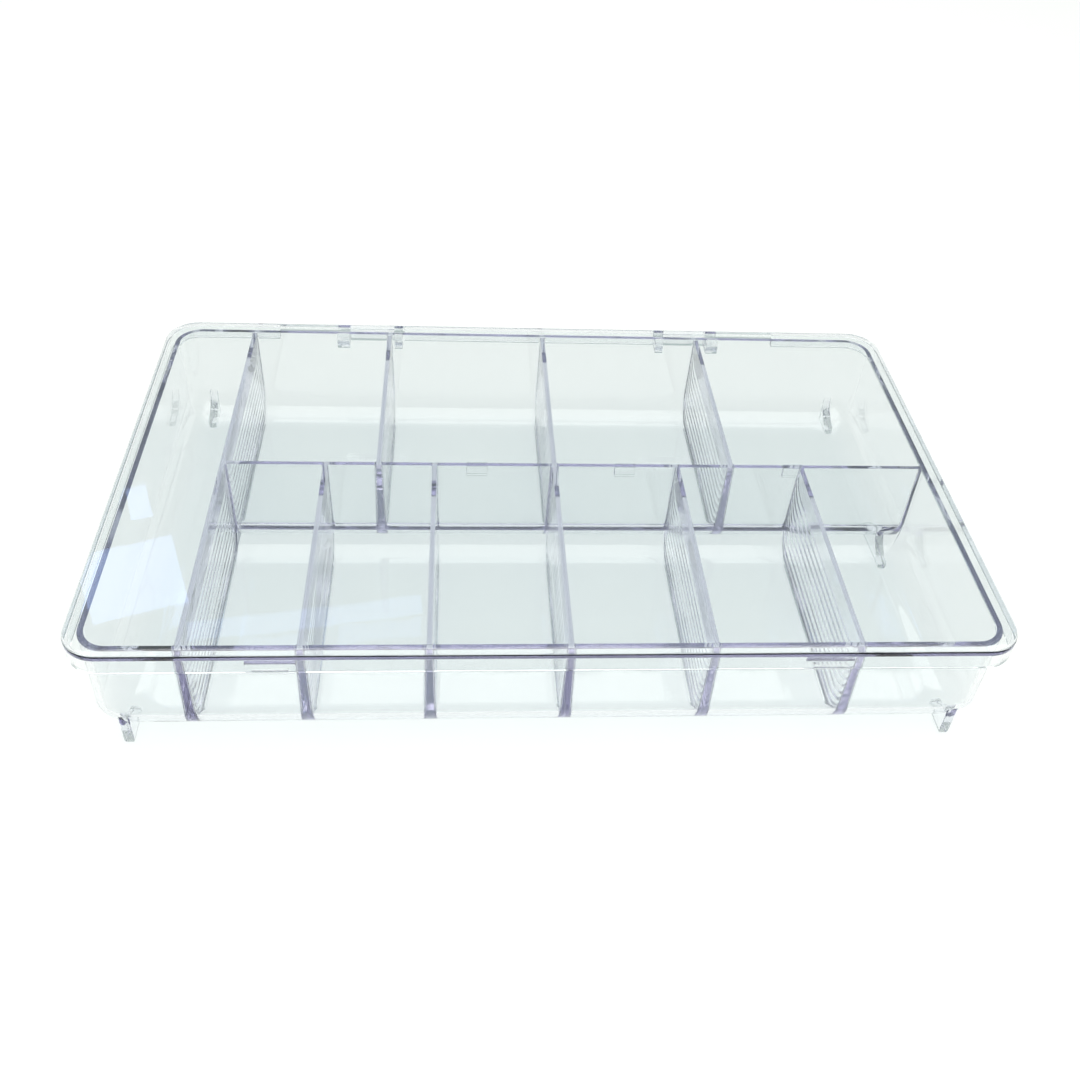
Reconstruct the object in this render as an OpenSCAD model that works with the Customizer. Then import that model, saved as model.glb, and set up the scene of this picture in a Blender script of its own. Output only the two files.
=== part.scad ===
// Hinged eleven-compartment parts tray in clear plastic, lid closed.
// Origin: middle of the closed tray's outline on the ground, hinge included. +Z up, hinge at +Y.
// The modules draw from the middle of the lid; put() then moves them to the origin. Units mm.

/* [Overall] */
// Lid outline, left to right
lid_w = 273; // [180:1:400]
// Lid outline, front to back
lid_d = 168; // [120:1:260]
// Ground to lid top
total_h = 42; // [35:0.5:60]

/* [Lid] */
// Panel thickness
panel_t = 2.3; // [1.5:0.1:3]
// Skirt height from the lid top
skirt_h = 7; // [5:0.5:10]
// Skirt wall thickness
skirt_t = 1.5; // [1.2:0.1:2.5]
// Plan corner radius of the lid
lid_r = 11; // [6:0.5:20]
// Rounding of the lid's top edge
lid_edge_r = 0.7; // [0.5:0.1:2]

/* [Tray shell] */
// Wall and floor thickness
shell_t = 1.8; // [1.2:0.1:2.5]
// Gap between skirt and tray wall
side_gap = 2.0; // [0.2:0.1:2]
// Gap between rim and lid panel
rim_gap = 0.1; // [0:0.1:0.5]
// Outer radius where walls sweep into the floor
sweep_r = 12; // [6:0.5:16]
// Plan corner radius of the tray
tray_r = 9; // [5:0.5:16]
// Ground to the underside of the floor
ground_gap = 2.2; // [1:0.1:6]

/* [Dividers] */
// Thickness at the top edge
div_top = 1.5; // [1:0.1:2.5]
// Thickness at the floor
div_base = 2.5; // [1.2:0.1:3.5]
// Top edge below the tray rim
div_drop = 0.3; // [0:0.1:2]
// Long divider, from the centre
long_x = -104.8; // [-120:0.1:-60]
// Cross divider, from the centre
cross_y = 1.2; // [-20:0.1:20]
// Rear dividers, from the centre
rear_xs = [-54.1, 4.5, 64.8];
// Front dividers, from the centre
front_xs = [-71.5, -35.6, 4.5, 46.2, 89.0];
// Moulding pads along the cross divider
pad_xs = [-21.5, 28.4, 86.3];

/* [Feet] */
// Foot rib thickness
foot_t = 3; // [2:0.1:5]
// Foot ribs, from the centre
foot_x = 123.8; // [100:0.1:130]
// Corner foot length
foot_len = 11.3; // [6:0.1:20]
// Middle foot length
mid_foot_len = 21.4; // [10:0.1:30]

/* [Hinge] */
// Hinge axis behind the centre
hinge_y = 86.2; // [85:0.1:90]
// Pin radius
pin_r = 1.2; // [0.8:0.05:2]
// Running clearance on the pin radius
pin_gap = 0.05; // [0.02:0.01:0.1]
// Knuckle radius
knuckle_r = 2.2; // [1.8:0.1:3]
// Lug radius
lug_r = 2.4; // [2:0.1:3]
// Inner lug, from the centre: start, end
lug_in = [49.4, 52.4];
// Outer lug, from the centre: start, end
lug_out = [69.6, 74.2];
// Skirt notch, from the centre: start, end
notch_x = [48.6, 96];
// Skirt left above the notch, from the lid top
notch_top = 3.8; // [3:0.1:5]

/* [Latch] */
// Latch centre, from the centre
latch_x = 79.5; // [60:0.1:110]
// Catch ridge length
catch_len = 14; // [8:0.5:25]
// Snap bead length
bead_len = 10; // [6:0.5:20]

/* [Hidden] */
$fn = 96;
e = 0.01;
half_w = lid_w/2;
half_d = lid_d/2;
tw = half_w - skirt_t - side_gap;      // tray wall outer face, X
td = half_d - skirt_t - side_gap;      // tray wall outer face, Y
iw = tw - shell_t;
id = td - shell_t;
in_r = sweep_r - shell_t;              // inner sweep radius
floor_z = ground_gap + shell_t;        // top of the floor
panel_z = total_h - panel_t;           // underside of the lid panel
rim_z = panel_z - rim_gap;
div_z = rim_z - div_drop;
skirt_z = total_h - skirt_h;           // bottom of the skirt
hinge_z = skirt_z;
ridge_z = floor_z + in_r + 0.4;        // top of the ridge that the cross divider stands on
div_low = floor_z - shell_t/2;         // dividers reach this far into the floor
row_gap = div_top/2 + (div_base - div_top)/2*(div_z - ridge_z)/(div_z - div_low);  // half its width
catch_out = side_gap/2 + 0.05;         // catch ridge stands this proud of the tray wall
bead_out = side_gap - catch_out - 0.05; // snap bead, proud of the skirt
mid_y = -(hinge_y + lug_r - half_d)/2; // middle of the lid, from the origin

module put() { translate([0, mid_y, 0]) children(); }
// Section with rounded lower corners, drawn in 2D as (horizontal, height)
module scoop(a, b, z0, r, top) {
  translate([a, z0 + r]) square([b - a, top - z0 - r]);
  translate([a + r, z0]) square([b - a - 2*r, r + e]);
  translate([a + r, z0 + r]) circle(r);
  translate([b - r, z0 + r]) circle(r);
}
// Plan of a box with rounded corners
module plan(w, d, r) {
  square([2*w - 2*r, 2*d], center = true);
  square([2*w, 2*d - 2*r], center = true);
  for (sx = [-1, 1], sy = [-1, 1]) translate([sx*(w - r), sy*(d - r)]) circle(r);
}
// Bars: a section drawn in (y, z) swept along x, and one drawn in (x, z) swept along y
module along_x(x0, x1) { translate([x0, 0, 0]) rotate([90, 0, 90]) linear_extrude(x1 - x0) children(); }
module along_y(y0, y1) { translate([0, y1, 0]) rotate([90, 0, 0]) linear_extrude(y1 - y0) children(); }

// Outside of the tray: one long trough on the left, two troughs side by side on the right
module tray_outside(top) {
  intersection() {
    linear_extrude(top) plan(tw, td, tray_r);
    along_y(-td, td) scoop(-tw, tw, ground_gap, sweep_r, top);
    union() {
      along_x(-tw, long_x + row_gap) scoop(-td, td, ground_gap, sweep_r, top);
      along_x(long_x, tw) scoop(-td, cross_y - row_gap + shell_t, ground_gap, sweep_r, top);
      along_x(long_x, tw) scoop(cross_y + row_gap - shell_t, td, ground_gap, sweep_r, top);
    }
  }
}
// Space inside one compartment row; sides with no outer wall are left square
module row_space(x0, x1, y0, y1) {
  intersection() {
    translate([0, 0, floor_z]) linear_extrude(60) plan(iw, id, tray_r - shell_t);
    along_y(-id, id) scoop(-iw, iw, floor_z, in_r, 70);
    along_x(x0, x1) scoop(y0, y1, floor_z, in_r, 70);
  }
}
module inside() {
  row_space(-iw, long_x, -id, id);
  row_space(long_x, iw, -id, cross_y - row_gap);
  row_space(long_x, iw, cross_y + row_gap, id);
  translate([long_x - 1, cross_y - row_gap - 1, ridge_z]) cube([iw - long_x + 1, 2*row_gap + 2, 60]);
}
// Drafted plate section: (across, height)
module plate_section() {
  polygon([[-div_base/2, div_low], [div_base/2, div_low], [div_top/2, div_z], [-div_top/2, div_z]]);
}
module plate_y(x, y0, y1) { translate([x, 0, 0]) along_y(y0, y1) plate_section(); }
module plate_x(y, x0, x1) { translate([0, y, 0]) along_x(x0, x1) plate_section(); }

module tray_shell() {
  color([0.86, 0.9, 0.92, 0.35]) put() difference() {
    tray_outside(rim_z);
    inside();
  }
}
module long_divider() {
  color([0.84, 0.88, 0.91, 0.35]) put() intersection() {
    plate_y(long_x, -id, id);
    inside();
  }
}
// Plate with its moulding pads, standing on the ridge between the front and rear sweeps
module cross_plate() {
  intersection() {
    union() {
      plate_x(cross_y, long_x, iw);
      for (x = pad_xs) translate([x - 3.5, cross_y - 1.1, div_z - 4]) cube([7, 2.2, 4]);
    }
    translate([long_x, cross_y - 3, ridge_z]) cube([iw - long_x, 6, 60]);
  }
}
module cross_divider() {
  color([0.84, 0.88, 0.91, 0.35]) put() difference() {
    cross_plate();
    plate_y(long_x, -id, id);
  }
}
module row_divider(x, front) {
  color([0.84, 0.88, 0.91, 0.35]) put() difference() {
    intersection() {
      plate_y(x, front ? -id : cross_y, front ? cross_y : id);
      inside();
    }
    cross_plate();
  }
}
module rear_divider_1() { row_divider(rear_xs[0], false); }
module rear_divider_2() { row_divider(rear_xs[1], false); }
module rear_divider_3() { row_divider(rear_xs[2], false); }
module front_divider_1() { row_divider(front_xs[0], true); }
module front_divider_2() { row_divider(front_xs[1], true); }
module front_divider_3() { row_divider(front_xs[2], true); }
module front_divider_4() { row_divider(front_xs[3], true); }
module front_divider_5() { row_divider(front_xs[4], true); }

// Rib under the sweep, from the ground up to the shell
module foot(x, y0, y1) {
  color([0.8, 0.84, 0.9, 0.4]) put() difference() {
    translate([x - foot_t/2, y0, 0]) cube([foot_t, y1 - y0, ground_gap + sweep_r - 2]);
    tray_outside(rim_z);
  }
}
module foot_front_left() { foot(-foot_x, -80.3, -80.3 + foot_len); }
module foot_front_right() { foot(foot_x, -80.3, -80.3 + foot_len); }
module foot_rear_left() { foot(-foot_x, 80.3 - foot_len, 80.3); }
module foot_rear_right() { foot(foot_x, 80.3 - foot_len, 80.3); }
module foot_middle_right() { foot(foot_x, cross_y - mid_foot_len/2, cross_y + mid_foot_len/2); }

// Lug on the rear wall with its pin bore; s is the side, b the bore start and end
module hinge_lug(s, x0, x1, b0, b1) {
  color([0.8, 0.84, 0.9, 0.4]) put() difference() {
    mirror([s < 0 ? 1 : 0, 0, 0]) along_x(x0, x1) {
      translate([td, hinge_z - lug_r]) square([hinge_y - td, 2*lug_r]);
      translate([hinge_y, hinge_z]) circle(lug_r);
    }
    mirror([s < 0 ? 1 : 0, 0, 0]) translate([b0, hinge_y, hinge_z]) rotate([0, 90, 0])
      cylinder(r = pin_r + pin_gap, h = b1 - b0);
  }
}
module hinge_lug_left_inner() { hinge_lug(-1, lug_in[0], lug_in[1], lug_in[0] - 1, lug_in[1] + 1); }
module hinge_lug_left_outer() { hinge_lug(-1, lug_out[0], lug_out[1], lug_out[0] - 1, lug_out[0] + 3.4); }
module hinge_lug_right_inner() { hinge_lug(1, lug_in[0], lug_in[1], lug_in[0] - 1, lug_in[1] + 1); }
module hinge_lug_right_outer() { hinge_lug(1, lug_out[0], lug_out[1], lug_out[0] - 1, lug_out[0] + 3.4); }

// Low ridge on the front wall that the lid's bead springs past
module catch_ridge(s) {
  color([0.8, 0.84, 0.9, 0.4]) put()
    translate([s*latch_x - catch_len/2, 0, 0]) along_x(0, catch_len)
      polygon([[-td, 37.4], [-td - catch_out, 36.9], [-td - catch_out, 36.4], [-td, 35.9]]);
}
module catch_left() { catch_ridge(-1); }
module catch_right() { catch_ridge(1); }

// Section with rounded upper corners
module rounded_top(w, r) {
  translate([-w, panel_z]) square([2*w, panel_t - r]);
  translate([-w + r, panel_z]) square([2*w - 2*r, panel_t]);
  for (s = [-1, 1]) translate([s*(w - r), total_h - r]) circle(r);
}
// Lid panel with its rounded top edge
module lid_panel() {
  color([0.86, 0.9, 0.92, 0.3]) put() intersection() {
    translate([0, 0, panel_z]) linear_extrude(panel_t) plan(half_w, half_d, lid_r);
    along_y(-half_d, half_d) rounded_top(half_w, lid_edge_r);
    along_x(-half_w, half_w) rounded_top(half_d, lid_edge_r);
  }
}
module lid_skirt() {
  color([0.86, 0.9, 0.92, 0.3]) put() difference() {
    translate([0, 0, skirt_z]) linear_extrude(panel_z - skirt_z) difference() {
      plan(half_w, half_d, lid_r);
      plan(half_w - skirt_t, half_d - skirt_t, lid_r - skirt_t);
    }
    for (s = [0, 1]) mirror([s, 0, 0])
      translate([notch_x[0], half_d - 5, skirt_z - 1])
        cube([notch_x[1] - notch_x[0], 10, total_h - notch_top - skirt_z + 1]);
  }
}
// Knuckle: arm off the back of the lid, barrel and the two pins
module hinge_knuckle(s) {
  k0 = lug_in[1] + 0.3;
  k1 = lug_out[0] - 0.3;
  color([0.8, 0.84, 0.9, 0.4]) put() mirror([s < 0 ? 1 : 0, 0, 0]) {
    along_x(k0, k1) {
      polygon([[half_d, 40.4], [86.9, 38.7], [hinge_y + knuckle_r, 37.2], [hinge_y + knuckle_r, hinge_z],
               [half_d, hinge_z]]);
      translate([hinge_y, hinge_z]) circle(knuckle_r);
    }
    translate([k0 - 2.6, hinge_y, hinge_z]) rotate([0, 90, 0]) cylinder(r = pin_r, h = k1 - k0 + 5.6);
  }
}
module hinge_knuckle_left() { hinge_knuckle(-1); }
module hinge_knuckle_right() { hinge_knuckle(1); }
// Bead inside the skirt, just under the catch ridge
module snap_bead(s) {
  y = -half_d + skirt_t;
  color([0.8, 0.84, 0.9, 0.4]) put()
    translate([s*latch_x - bead_len/2, 0, 0]) along_x(0, bead_len)
      polygon([[y, 35.1], [y + bead_out, 35.3], [y + bead_out, 35.6], [y, 35.8]]);
}
module snap_bead_left() { snap_bead(-1); }
module snap_bead_right() { snap_bead(1); }

tray_shell();
long_divider();
cross_divider();
rear_divider_1();
rear_divider_2();
rear_divider_3();
front_divider_1();
front_divider_2();
front_divider_3();
front_divider_4();
front_divider_5();
foot_front_left();
foot_front_right();
foot_rear_left();
foot_rear_right();
foot_middle_right();
hinge_lug_left_inner();
hinge_lug_left_outer();
hinge_lug_right_inner();
hinge_lug_right_outer();
catch_left();
catch_right();
lid_panel();
lid_skirt();
hinge_knuckle_left();
hinge_knuckle_right();
snap_bead_left();
snap_bead_right();
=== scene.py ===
import bpy
from math import asin, cos, pi, radians, sin, sqrt
from mathutils import Matrix, Vector


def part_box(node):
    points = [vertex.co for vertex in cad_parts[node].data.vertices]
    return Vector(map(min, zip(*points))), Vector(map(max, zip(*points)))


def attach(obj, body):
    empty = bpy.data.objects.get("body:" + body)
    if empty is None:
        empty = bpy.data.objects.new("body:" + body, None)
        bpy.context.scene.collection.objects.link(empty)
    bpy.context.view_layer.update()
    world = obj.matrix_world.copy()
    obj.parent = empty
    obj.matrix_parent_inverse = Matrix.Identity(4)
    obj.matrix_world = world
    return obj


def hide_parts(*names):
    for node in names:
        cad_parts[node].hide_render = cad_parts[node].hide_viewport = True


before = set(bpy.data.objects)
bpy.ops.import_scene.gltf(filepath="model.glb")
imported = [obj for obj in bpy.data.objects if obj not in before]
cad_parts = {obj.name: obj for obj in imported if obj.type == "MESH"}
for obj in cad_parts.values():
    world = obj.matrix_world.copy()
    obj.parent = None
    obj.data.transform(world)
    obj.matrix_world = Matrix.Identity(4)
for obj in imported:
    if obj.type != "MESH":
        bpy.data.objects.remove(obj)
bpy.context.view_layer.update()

MM = 0.001

# ---------------------------------------------------------------- sizes, from the frame
shell_lo, shell_hi = (Vector(v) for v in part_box("tray_shell"))
panel_lo, panel_hi = (Vector(v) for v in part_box("lid_panel"))
skirt_lo = Vector(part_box("lid_skirt")[0])


def middle(node, axis):
    lo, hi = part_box(node)
    return (lo[axis] + hi[axis]) / 2


LONG_X = middle("long_divider", 0)
CROSS_Y = middle("cross_divider", 1)
REAR_XS = [middle("rear_divider_%d" % i, 0) for i in (1, 2, 3)]
FRONT_XS = [middle("front_divider_%d" % i, 0) for i in (1, 2, 3, 4, 5)]
RIM_Z = shell_hi.z
TRAY_X, TRAY_Y0, TRAY_Y1 = shell_hi.x, shell_lo.y, shell_hi.y   # outer faces of the tray's walls
PANEL_LOW = panel_lo.z                 # underside of the lid panel
SKIRT = 1.5 * MM                       # thickness of the lid's skirt
LID_EDGE = 0.7 * MM                    # rounding of the lid's top edge
LID_CORNER = 11 * MM
INNER_EDGE = 0.1 * MM                  # fillet where the panel meets the skirt
DIV_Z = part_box("long_divider")[1][2]   # top edge of every divider
WALL = 1.8 * MM                        # wall and floor thickness
FLOOR_Z = shell_lo.z + WALL
SWEEP = 12 * MM                        # outer radius where the walls run into the floor
INNER_SWEEP = SWEEP - WALL
CORNER = 9 * MM                        # tray's outer corner radius in plan
MID_Y = (panel_lo.y + panel_hi.y) / 2  # the lid's middle; the hinge makes the box longer at the back
IN_X = TRAY_X - WALL
FRONT_Y, REAR_Y = TRAY_Y0 + WALL, TRAY_Y1 - WALL
HALF_TOP, HALF_BASE = 0.75 * MM, 1.25 * MM   # divider half thickness at its top and foot
STEP = 3.1 * MM                        # pitch of the cutter passes that the mould leaves on the dividers
PASS_DEPTH = 0.12 * MM                 # hollow between two passes
FOOT_FILLET = 1.5 * MM                 # radius where a divider meets the floor
PAD_XS = (-21.5 * MM, 28.4 * MM, 86.3 * MM)   # moulding pads along the cross divider
KNUCKLE_R, PIN_R, BORE_R = 2.2 * MM, 1.2 * MM, 1.25 * MM
BORE_DEPTH = 3.4 * MM                  # how far the blind bore runs into an outer lug
NOTCH_X0, NOTCH_X1 = 48.6 * MM, 96 * MM      # skirt notch over each hinge, from the centre
NOTCH_TOP = 3.8 * MM                   # skirt left above a notch, from the lid's top
ARM_X0, ARM_X1 = 52.7 * MM, 69.3 * MM        # hinge arm, from the centre

# ---------------------------------------------------------------- mesh tools


def new_object(name, verts, faces):
    mesh = bpy.data.meshes.new(name)
    mesh.from_pydata([tuple(v) for v in verts], [], faces)
    mesh.update()
    obj = bpy.data.objects.new(name, mesh)
    bpy.context.scene.collection.objects.link(obj)
    return obj


def ring(x0, x1, y0, y1, radii, z, steps=8):
    """Outline of a box with rounded corners at height z, anticlockwise from +x +y."""
    centres = ((x1, y1, -1, -1), (x0, y1, 1, -1), (x0, y0, 1, 1), (x1, y0, -1, 1))
    points = []
    for corner, (x, y, sx, sy) in enumerate(centres):
        r = radii[corner]
        for i in range(steps + 1):
            a = (corner + i / steps) * pi / 2
            points.append((x + sx * r + r * cos(a), y + sy * r + r * sin(a), z))
    return points


def loft(name, rings):
    """Closed skin through rings that all have the same count, lowest first."""
    n = len(rings[0])
    verts = [p for r in rings for p in r]
    faces = [tuple(reversed(range(n)))]
    for k in range(len(rings) - 1):
        a, b = k * n, (k + 1) * n
        faces += [(a + i, a + (i + 1) % n, b + (i + 1) % n, b + i) for i in range(n)]
    faces.append(tuple(range((len(rings) - 1) * n, len(rings) * n)))
    return new_object(name, verts, faces)


def prism(name, outline, x0, x1):
    """Outline in (y, z), anticlockwise seen from +X, carried from x0 to x1."""
    n = len(outline)
    verts = [(x, y, z) for x in (x0, x1) for y, z in outline]
    faces = [tuple(reversed(range(n))), tuple(range(n, 2 * n))]
    faces += [(i, (i + 1) % n, n + (i + 1) % n, n + i) for i in range(n)]
    return new_object(name, verts, faces)


def arc(cy, cz, r, start, end, steps=16):
    return [(cy + r * cos(radians(start + (end - start) * i / steps)),
             cz + r * sin(radians(start + (end - start) * i / steps))) for i in range(steps + 1)]


def join(name, objs):
    verts, faces = [], []
    for o in objs:
        base = len(verts)
        verts += [tuple(v.co) for v in o.data.vertices]
        faces += [tuple(base + i for i in p.vertices) for p in o.data.polygons]
        bpy.data.objects.remove(o)
    return new_object(name, verts, faces)


def combine(base, tool, how):
    mod = base.modifiers.new("combine", "BOOLEAN")
    mod.operation, mod.object, mod.solver = how, tool, "EXACT"
    graph = bpy.context.evaluated_depsgraph_get()
    mesh = bpy.data.meshes.new_from_object(base.evaluated_get(graph))
    base.modifiers.clear()
    base.data = mesh
    bpy.data.objects.remove(tool)


def smooth(obj, angle=32):
    for p in obj.data.polygons:
        p.use_smooth = True
    obj.data.set_sharp_from_angle(angle=radians(angle))
    mod = obj.modifiers.new("flat faces stay flat", "WEIGHTED_NORMAL")
    mod.keep_sharp = True
    mod.weight = 100


# ---------------------------------------------------------------- tray moulding
def round_in(height, r):
    """How far a quarter round of radius r has come in at this height above its lowest point."""
    if height >= r:
        return 0.0
    return r - sqrt(max(r * r - (r - height) ** 2, 0.0))


def half_thickness(z):
    t = (DIV_Z - z) / (DIV_Z - FLOOR_Z)
    return HALF_TOP + (HALF_BASE - HALF_TOP) * min(max(t, 0.0), 1.0)


TOP_Z = RIM_Z + 4 * MM


def pocket_heights():
    sweep = [INNER_SWEEP * (1 - sin(pi / 2 * i / 26)) for i in range(26, -1, -1)]
    return [FLOOR_Z + h for h in sweep] + [DIV_Z, TOP_Z]


def pocket(name, x0, x1, y0, y1, left, right):
    """Inside of one compartment. left and right say "wall" or "divider"; the ends always sweep."""
    rings = []
    for z in pocket_heights():
        h = z - FLOOR_Z
        sweep = round_in(h, INNER_SWEEP)
        side = half_thickness(z) + round_in(h, FOOT_FILLET)
        a = x0 + (sweep if left == "wall" else side)
        b = x1 - (sweep if right == "wall" else side)
        front_wall, rear_wall = y0 < CROSS_Y - 1 * MM, y1 > CROSS_Y + 1 * MM
        c = y0 + sweep + (0 if front_wall else half_thickness(z))
        d = y1 - sweep - (0 if rear_wall else half_thickness(z))
        big, small = CORNER - WALL, 0.8 * MM
        radii = (big if right == "wall" and rear_wall else small,
                 big if left == "wall" and rear_wall else small,
                 big if left == "wall" and front_wall else small,
                 big if right == "wall" and front_wall else small)
        rings.append(ring(a, b, c, d, radii, z))
    return loft(name, rings)


def tray_outside():
    rings = []
    for i in range(32, -1, -1):
        h = SWEEP * (1 - sin(pi / 2 * i / 32))
        s = round_in(h, SWEEP)
        rings.append(ring(-TRAY_X + s, TRAY_X - s, TRAY_Y0 + s, TRAY_Y1 - s,
                          (CORNER,) * 4, shell_lo.z + h, 12))
    edge = 0.35 * MM
    for i in range(5):
        a = pi / 2 * i / 4
        s = edge * (1 - cos(a))
        rings.append(ring(-TRAY_X + s, TRAY_X - s, TRAY_Y0 + s, TRAY_Y1 - s,
                          (CORNER,) * 4, RIM_Z - edge + edge * sin(a), 12))
    return loft("tray", rings)


def valley():
    """The groove under the cross divider, between the rear and front scoops."""
    out = 0.3 * MM + HALF_TOP
    cz = FLOOR_Z + INNER_SWEEP
    front_c, rear_c = CROSS_Y - out - INNER_SWEEP, CROSS_Y + out + INNER_SWEEP
    half = asin((rear_c - CROSS_Y) / SWEEP) * 180 / pi
    left = arc(front_c, cz, SWEEP, -90, -90 + half, 20)
    right = arc(rear_c, cz, SWEEP, -90 - half, -90, 20)
    outline = [(front_c, -5 * MM)] + [(rear_c, -5 * MM)] + list(reversed(right)) + list(reversed(left[:-1]))
    return prism("valley", outline, LONG_X + out, TRAY_X + 5 * MM)


def foot(node):
    lo, hi = (Vector(v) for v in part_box(node))
    rings = []
    for z, s in ((lo.z, 0.5), (lo.z + 0.15 * MM, 0.3), (lo.z + 0.5 * MM, 0.12), (lo.z + 1.2 * MM, 0.0),
                 (hi.z, 0.0)):
        s *= MM
        rings.append(ring(lo.x + s, hi.x - s, lo.y + s, hi.y - s, (0.4 * MM,) * 4, z, 4))
    return loft(node, rings)


def lug(node):
    lo, hi = (Vector(v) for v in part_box(node))
    r = (hi.z - lo.z) / 2
    cy, cz = hi.y - r, (hi.z + lo.z) / 2
    y = TRAY_Y1 - 0.6 * MM
    return prism(node, [(y, lo.z)] + arc(cy, cz, r, -90, 90, 20) + [(y, hi.z)], lo.x, hi.x)


def round_bar(name, x0, x1, cy, cz, r):
    return prism(name, arc(cy, cz, r, 0, 360 - 360 / 32, 31), x0, x1)


def ridge(node, inward):
    """Low rounded bar along a wall; it is sunk a little way into the wall behind it."""
    lo, hi = (Vector(v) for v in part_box(node))
    cz, h = (lo.z + hi.z) / 2, (hi.z - lo.z) / 2
    if inward:
        outline = [(lo.y - 0.4 * MM, hi.z), (lo.y - 0.4 * MM, lo.z)]
        outline += [(lo.y + (hi.y - lo.y) * cos(radians(a)), cz + h * sin(radians(a)))
                    for a in range(-90, 91, 15)]
    else:
        outline = [(hi.y + 0.4 * MM, lo.z), (hi.y + 0.4 * MM, hi.z)]
        outline += [(hi.y - (hi.y - lo.y) * cos(radians(a)), cz + h * sin(radians(a)))
                    for a in range(90, -91, -15)]
    return prism(node, outline, lo.x, hi.x)


def block(name, x0, x1, y0, y1, z0, z1, r):
    return loft(name, [ring(x0, x1, y0, y1, (r,) * 4, z, 3) for z in (z0, z1)])


def build_tray():
    tray = tray_outside()
    combine(tray, valley(), "DIFFERENCE")
    feet = ["foot_front_left", "foot_front_right", "foot_rear_left", "foot_rear_right", "foot_middle_right"]
    lugs = ["hinge_lug_%s_%s" % (s, k) for s in ("left", "right") for k in ("inner", "outer")]
    combine(tray, join("outside parts", [foot(n) for n in feet] + [lug(n) for n in lugs]
                       + [ridge("catch_left", False), ridge("catch_right", False)]), "UNION")
    pockets = [pocket("left", -IN_X, LONG_X, FRONT_Y, REAR_Y, "wall", "divider")]
    xs = [LONG_X] + REAR_XS + [IN_X]
    for i in range(4):
        pockets.append(pocket("rear", xs[i], xs[i + 1], CROSS_Y, REAR_Y, "divider",
                              "wall" if i == 3 else "divider"))
    xs = [LONG_X] + FRONT_XS + [IN_X]
    for i in range(6):
        pockets.append(pocket("front", xs[i], xs[i + 1], FRONT_Y, CROSS_Y, "divider",
                              "wall" if i == 5 else "divider"))
    combine(tray, join("pockets", pockets), "DIFFERENCE")
    slab = loft("slab", [ring(-IN_X, IN_X, FRONT_Y, REAR_Y, (CORNER - WALL,) * 4, z)
                         for z in (DIV_Z, TOP_Z + MM)])
    combine(tray, slab, "DIFFERENCE")
    pads = []
    for x in PAD_XS:
        pads.append(block("pad", x - 3.5 * MM, x + 3.5 * MM, CROSS_Y - 1.1 * MM, CROSS_Y + 1.1 * MM,
                          DIV_Z - 4 * MM, DIV_Z - 0.02 * MM, 0.4 * MM))
    combine(tray, join("pads", pads), "UNION")
    lo, hi = (Vector(v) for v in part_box("hinge_knuckle_right"))
    axis_y, axis_z = lo.y + KNUCKLE_R, lo.z + KNUCKLE_R
    inner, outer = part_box("hinge_lug_right_inner"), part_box("hinge_lug_right_outer")
    bores = []
    for s in (-1, 1):
        for a, b in ((inner[0][0] - MM, inner[1][0] + MM), (outer[0][0] - MM, outer[0][0] + BORE_DEPTH)):
            bores.append(round_bar("bore", min(s * a, s * b), max(s * a, s * b), axis_y, axis_z, BORE_R))
    combine(tray, join("bores", bores), "DIFFERENCE")
    smooth(tray)
    return tray, feet, lugs


# ---------------------------------------------------------------- lid moulding
def build_lid():
    w, front, back = panel_hi.x, panel_lo.y, panel_hi.y
    r, edge = LID_CORNER, LID_EDGE
    rings = []
    foot_edge = 0.3 * MM
    for i in range(5):
        a = pi / 2 * i / 4
        s = foot_edge * (1 - sin(a))
        rings.append(ring(-w + s, w - s, front + s, back - s, (r - s,) * 4,
                          skirt_lo.z + foot_edge * (1 - cos(a)), 14))
    for i in range(13):
        a = pi / 2 * i / 12
        s = edge * (1 - cos(a))
        rings.append(ring(-w + s, w - s, front + s, back - s, (r - s,) * 4,
                          panel_hi.z - edge + edge * sin(a), 14))
    lid = loft("lid", rings)
    rings = [ring(-w + SKIRT, w - SKIRT, front + SKIRT, back - SKIRT, (r - SKIRT,) * 4,
                  skirt_lo.z - 3 * MM, 14)]
    for i in range(9):
        a = pi / 2 * i / 8
        s = SKIRT + INNER_EDGE * (1 - cos(a))
        rings.append(ring(-w + s, w - s, front + s, back - s, (r - s,) * 4,
                          PANEL_LOW - INNER_EDGE + INNER_EDGE * sin(a), 14))
    combine(lid, loft("lid inside", rings), "DIFFERENCE")
    notches = [block("notch", min(s * NOTCH_X0, s * NOTCH_X1), max(s * NOTCH_X0, s * NOTCH_X1), back - 5 * MM,
                     back + 5 * MM, skirt_lo.z - 2 * MM, panel_hi.z - NOTCH_TOP, 0.5 * MM) for s in (-1, 1)]
    combine(lid, join("notches", notches), "DIFFERENCE")
    parts = []
    for side, s in (("left", -1), ("right", 1)):
        lo, hi = (Vector(v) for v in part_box("hinge_knuckle_" + side))
        cy, cz = hi.y - KNUCKLE_R, lo.z + KNUCKLE_R
        outline = [(back - 0.8 * MM, 38.5 * MM), (back, 38.2 * MM), (back, cz)]
        outline += arc(cy, cz, KNUCKLE_R, 180, 360, 20)[1:]
        outline += [(hi.y, 37.2 * MM), (hi.y - 1.5 * MM, 38.7 * MM)]
        outline += [(back, 40.4 * MM), (back - 0.8 * MM, 40.4 * MM)]
        parts.append(prism("arm", outline, min(s * ARM_X0, s * ARM_X1), max(s * ARM_X0, s * ARM_X1)))
        parts.append(round_bar("pin", lo.x, hi.x, cy, cz, PIN_R))
    parts += [ridge("snap_bead_left", True), ridge("snap_bead_right", True)]
    for p in parts:
        combine(lid, p, "UNION")
    smooth(lid)
    return lid


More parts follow.
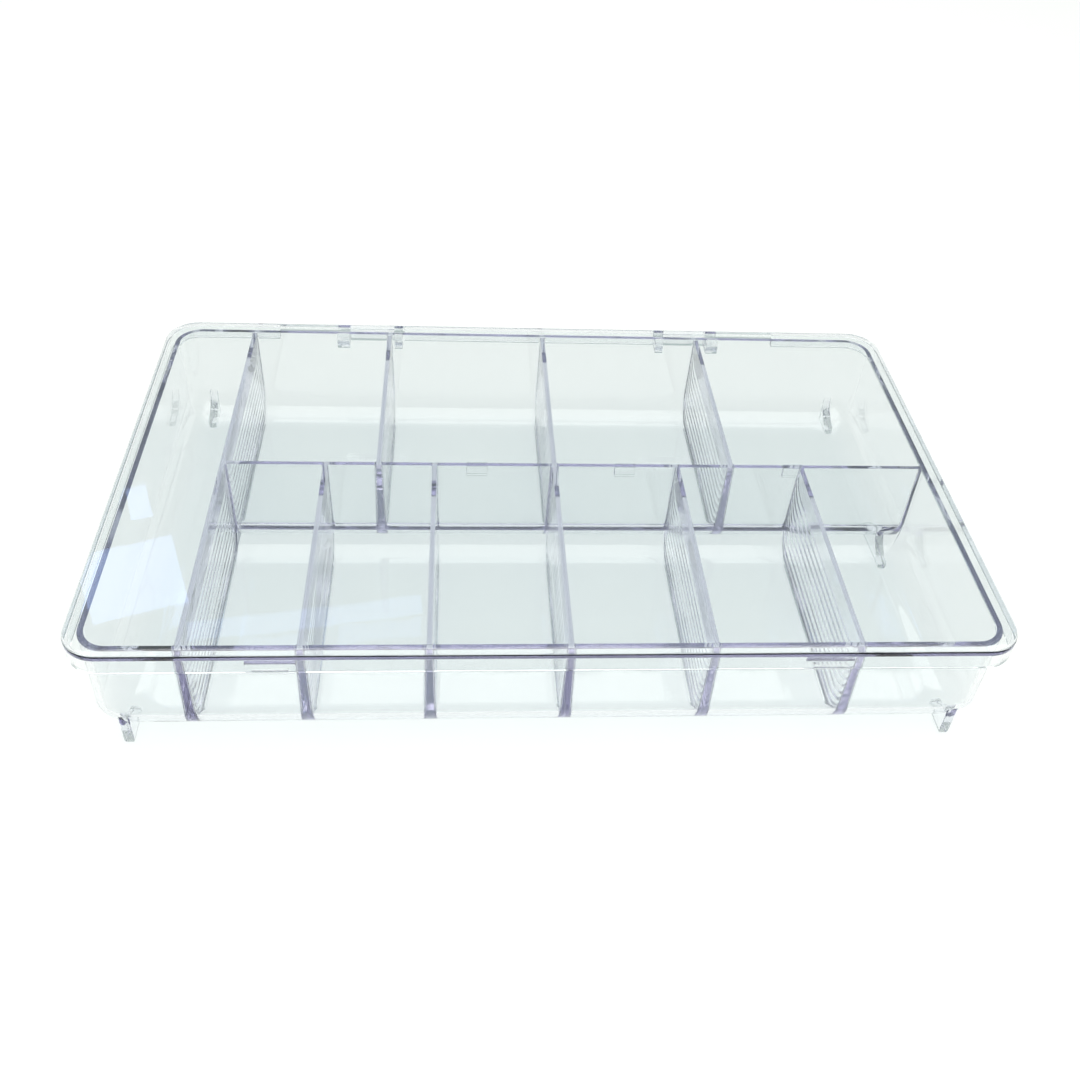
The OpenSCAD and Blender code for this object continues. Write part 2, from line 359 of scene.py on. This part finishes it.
# ---------------------------------------------------------------- materials
def srgb(code):
    """sRGB hex to linear RGBA."""
    def linear(v):
        return v / 12.92 if v <= 0.04045 else ((v + 0.055) / 1.055) ** 2.4
    return tuple(linear(int(code[i:i + 2], 16) / 255) for i in (1, 3, 5)) + (1.0,)


def add_node(tree, kind, settings=None, links=()):
    """Adds a node, sets its properties and inputs, and links (socket, from_node, from_socket)."""
    node = tree.nodes.new(kind)
    for key, value in (settings or {}).items():
        if isinstance(key, int) or key in node.inputs:
            node.inputs[key].default_value = value
        else:
            setattr(node, key, value)
    for socket, source, output in links:
        tree.links.new(source.outputs[output], node.inputs[socket])
    return node


def cutter_passes(tree, place):
    """Height of the passes left on the dividers by the ball-nosed cutter that sank the mould. Each pass
    runs level over a compartment's floor and climbs with the scoop at either end."""
    at = add_node(tree, "ShaderNodeSeparateXYZ", {}, [("Vector", place, "Object")])
    facing = add_node(tree, "ShaderNodeSeparateXYZ", {}, [("Vector", place, "Normal")])

    polish = add_node(tree, "ShaderNodeTexNoise", {"Scale": 1000 / 55, "Detail": 1.0}, [("Vector", place, "Object")])
    left_in = add_node(tree, "ShaderNodeMapRange",
                       {"From Min": 0.38, "From Max": 0.6, "To Min": 0.12, "To Max": 1.0},
                       [("Value", polish, "Fac")])
    known = {"x": (at, "X"), "y": (at, "Y"), "z": (at, "Z"), "facing": (facing, "X"), "left in": (left_in, "Result")}
    sums = (
        # how far into the scoop at the nearest end, and how much the floor has climbed there
        ("from front", "SUBTRACT", "y", FRONT_Y), ("from rear", "SUBTRACT", REAR_Y, "y"),
        ("past cross", "SUBTRACT", "y", CROSS_Y), ("from cross", "ABSOLUTE", "past cross"),
        ("to wall", "MINIMUM", "from front", "from rear"), ("to end", "MINIMUM", "to wall", "from cross"),
        ("left over", "SUBTRACT", INNER_SWEEP, "to end"), ("into", "MAXIMUM", "left over", 0.0),
        ("into squared", "MULTIPLY", "into", "into"),
        ("drop squared", "SUBTRACT", INNER_SWEEP ** 2, "into squared"), ("drop", "SQRT", "drop squared"),
        # height above that floor, and the hollow of each pass
        ("raised", "ADD", "z", "drop"), ("above", "SUBTRACT", "raised", INNER_SWEEP + FLOOR_Z),
        ("turn", "MULTIPLY", "above", pi / STEP), ("wave", "SINE", "turn"), ("hollow", "ABSOLUTE", "wave"),
        # only on divider faces, and only nine passes up
        ("side on", "ABSOLUTE", "facing"), ("is side", "GREATER_THAN", "side on", 0.9),
        ("off centre", "ABSOLUTE", "x"), ("in walls", "LESS_THAN", "off centre", IN_X - MM),
        ("on divider", "MULTIPLY", "is side", "in walls"),
        ("over floor", "GREATER_THAN", "above", 0.0), ("under top", "LESS_THAN", "above", 9 * STEP),
        ("in height", "MULTIPLY", "over floor", "under top"),
        ("uneven", "MULTIPLY", "hollow", "left in"), ("here", "MULTIPLY", "on divider", "in height"),
        ("relief", "MULTIPLY", "uneven", "here"))
    for name, operation, *terms in sums:
        settings = {"operation": operation}
        settings.update({i: term for i, term in enumerate(terms) if not isinstance(term, str)})
        links = [(i,) + known[term] for i, term in enumerate(terms) if isinstance(term, str)]
        known[name] = (add_node(tree, "ShaderNodeMath", settings, links), "Value")
    return known["relief"]


def crystal_polystyrene(name, wave_mm, toner, density, passes=False):
    """General-purpose polystyrene, injection moulded in a polished tool: water clear, with a trace of
    blue-violet toner that only shows along the edges, and a slow waviness where the melt flowed."""
    mat = bpy.data.materials.new(name)
    mat.use_nodes = True
    tree = mat.node_tree
    tree.nodes.clear()
    place = add_node(tree, "ShaderNodeTexCoord")
    flow = add_node(tree, "ShaderNodeTexNoise", {"Scale": 1000 / wave_mm, "Detail": 2.0, "Roughness": 0.4},
                    [("Vector", place, "Object")])
    handling = add_node(tree, "ShaderNodeTexNoise", {"Scale": 1000 / 9, "Detail": 5.0, "Roughness": 0.65},
                        [("Vector", place, "Object")])
    haze = add_node(tree, "ShaderNodeMapRange",
                    {"From Min": 0.35, "From Max": 0.75, "To Min": 0.0, "To Max": 0.035},
                    [("Value", handling, "Fac")])
    relief = []
    if passes:
        cut = add_node(tree, "ShaderNodeBump", {"Strength": 1.0, "Distance": PASS_DEPTH, "invert": True},
                       [("Height",) + cutter_passes(tree, place)])
        relief = [("Normal", cut, "Normal")]
    waves = add_node(tree, "ShaderNodeBump", {"Strength": 1.0, "Distance": 0.06 * MM},
                     [("Height", flow, "Fac")] + relief)
    shader = add_node(tree, "ShaderNodeBsdfPrincipled",
                      {"Base Color": srgb("#f8fafa"), "IOR": 1.59, "Transmission Weight": 1.0, "Metallic": 0.0},
                      [("Roughness", haze, "Result"), ("Normal", waves, "Normal")])
    ray = add_node(tree, "ShaderNodeLightPath")
    passed = add_node(tree, "ShaderNodeBsdfTransparent", {"Color": srgb("#fdfefe")})
    to_lamps = add_node(tree, "ShaderNodeMixShader", {}, [("Fac", ray, "Is Shadow Ray")])
    to_floor = add_node(tree, "ShaderNodeMixShader", {}, [("Fac", ray, "Is Diffuse Ray")])
    tree.links.new(shader.outputs["BSDF"], to_lamps.inputs[1])
    tree.links.new(passed.outputs["BSDF"], to_lamps.inputs[2])
    tree.links.new(to_lamps.outputs["Shader"], to_floor.inputs[1])
    tree.links.new(passed.outputs["BSDF"], to_floor.inputs[2])
    body = add_node(tree, "ShaderNodeVolumeAbsorption", {"Color": srgb(toner), "Density": density})
    add_node(tree, "ShaderNodeOutputMaterial", {}, [("Surface", to_floor, "Shader"), ("Volume", body, "Volume")])
    return mat


# ---------------------------------------------------------------- build and dress
TONER = "#b6b2d3"                      # blue-violet
tray, feet, lugs = build_tray()
lid = build_lid()
tray.data.materials.clear()
tray.data.materials.append(
    crystal_polystyrene("crystal polystyrene, tray", 34, TONER, 16.0, passes=True))
lid.data.materials.clear()
lid.data.materials.append(crystal_polystyrene("crystal polystyrene, lid", 48, TONER, 12.0))
tray.name, lid.name = "tray_moulding", "lid_moulding"

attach(tray, "tray")
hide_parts("tray_shell", "long_divider", "cross_divider", *["rear_divider_%d" % i for i in (1, 2, 3)],
            *["front_divider_%d" % i for i in (1, 2, 3, 4, 5)], *feet, *lugs, "catch_left", "catch_right")
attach(lid, "lid")
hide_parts("lid_panel", "lid_skirt", "hinge_knuckle_left", "hinge_knuckle_right",
            "snap_bead_left", "snap_bead_right")

# ---------------------------------------------------------------- floor, light, camera
scene = bpy.context.scene
floor = new_object("floor", [(-6, -6, 0), (6, -6, 0), (6, 6, 0), (-6, 6, 0)], [(0, 1, 2, 3)])
paper = bpy.data.materials.new("white paper")
paper.use_nodes = True
sheet = paper.node_tree.nodes["Principled BSDF"]
sheet.inputs["Base Color"].default_value = srgb("#f6f6f6")
sheet.inputs["Roughness"].default_value = 0.9
sheet.inputs["Specular IOR Level"].default_value = 0.1
floor.data.materials.append(paper)

ROOM_DIM = 0.40
world = bpy.data.worlds.new("studio")
scene.world = world
world.use_nodes = True
world.node_tree.nodes["Background"].inputs["Color"].default_value = srgb("#c9d6d3")
toward = add_node(world.node_tree, "ShaderNodeTexCoord")
heading = add_node(world.node_tree, "ShaderNodeSeparateXYZ", {}, [("Vector", toward, "Generated")])
# the room is dimmer behind the camera than behind the tray
room = add_node(world.node_tree, "ShaderNodeMapRange",
                {"From Min": -0.75, "From Max": 0.05, "To Min": ROOM_DIM, "To Max": 0.84}, [("Value", heading, "Y")])
world.node_tree.links.new(room.outputs["Result"], world.node_tree.nodes["Background"].inputs["Strength"])


def soft_light(name, place, aim, width, height, power, colour):
    data = bpy.data.lights.new(name, "AREA")
    data.shape, data.size, data.size_y, data.energy, data.color = "RECTANGLE", width, height, power, srgb(colour)[:3]
    obj = bpy.data.objects.new(name, data)
    scene.collection.objects.link(obj)
    obj.location = place
    obj.rotation_euler = (Vector(aim) - Vector(place)).to_track_quat("-Z", "Y").to_euler()


soft_light("top light", (0, 0, 1.6), (0, 0, 0), 2.6, 2.6, 36, "#fffaf6")
# three panes of a window behind the tray, which show as pale blue patches on the lid
for place, width, height, power in (((-0.72, 1.5, 1.60), 0.20, 0.15, 0.15), ((-0.36, 1.5, 1.72), 0.52, 0.045, 0.06),
                                    ((-0.67, 1.5, 1.38), 0.040, 0.065, 0.013)):
    soft_light("window pane", place, (-0.1, MID_Y - 0.05, panel_hi.z), width, height, power, "#a9c4ff")

camera_data = bpy.data.cameras.new("camera")
camera = bpy.data.objects.new("camera", camera_data)
scene.collection.objects.link(camera)
camera_data.sensor_width = 36.0
camera_data.lens = 36.0 * 1146.2 / 1080
camera_data.shift_x = -10.6 / 1080
camera_data.shift_y = -60.0 / 1080
camera_data.clip_start = 0.01
turn = (Matrix.Rotation(radians(-6.20), 4, "Z") @ Matrix.Rotation(radians(-39.88), 4, "X")
        @ Matrix.Rotation(radians(-4.37), 4, "Y") @ Matrix.Rotation(radians(90), 4, "X"))
stand = Vector((-28.70, -295.65, 283.43)) * MM + Vector((0, MID_Y, 0))
camera.matrix_world = Matrix.Translation(stand) @ turn
scene.camera = camera
scene.view_settings.view_transform = "Standard"
scene.cycles.max_bounces = 64
scene.cycles.transmission_bounces = 64
scene.cycles.glossy_bounces = 64
scene.cycles.transparent_max_bounces = 48
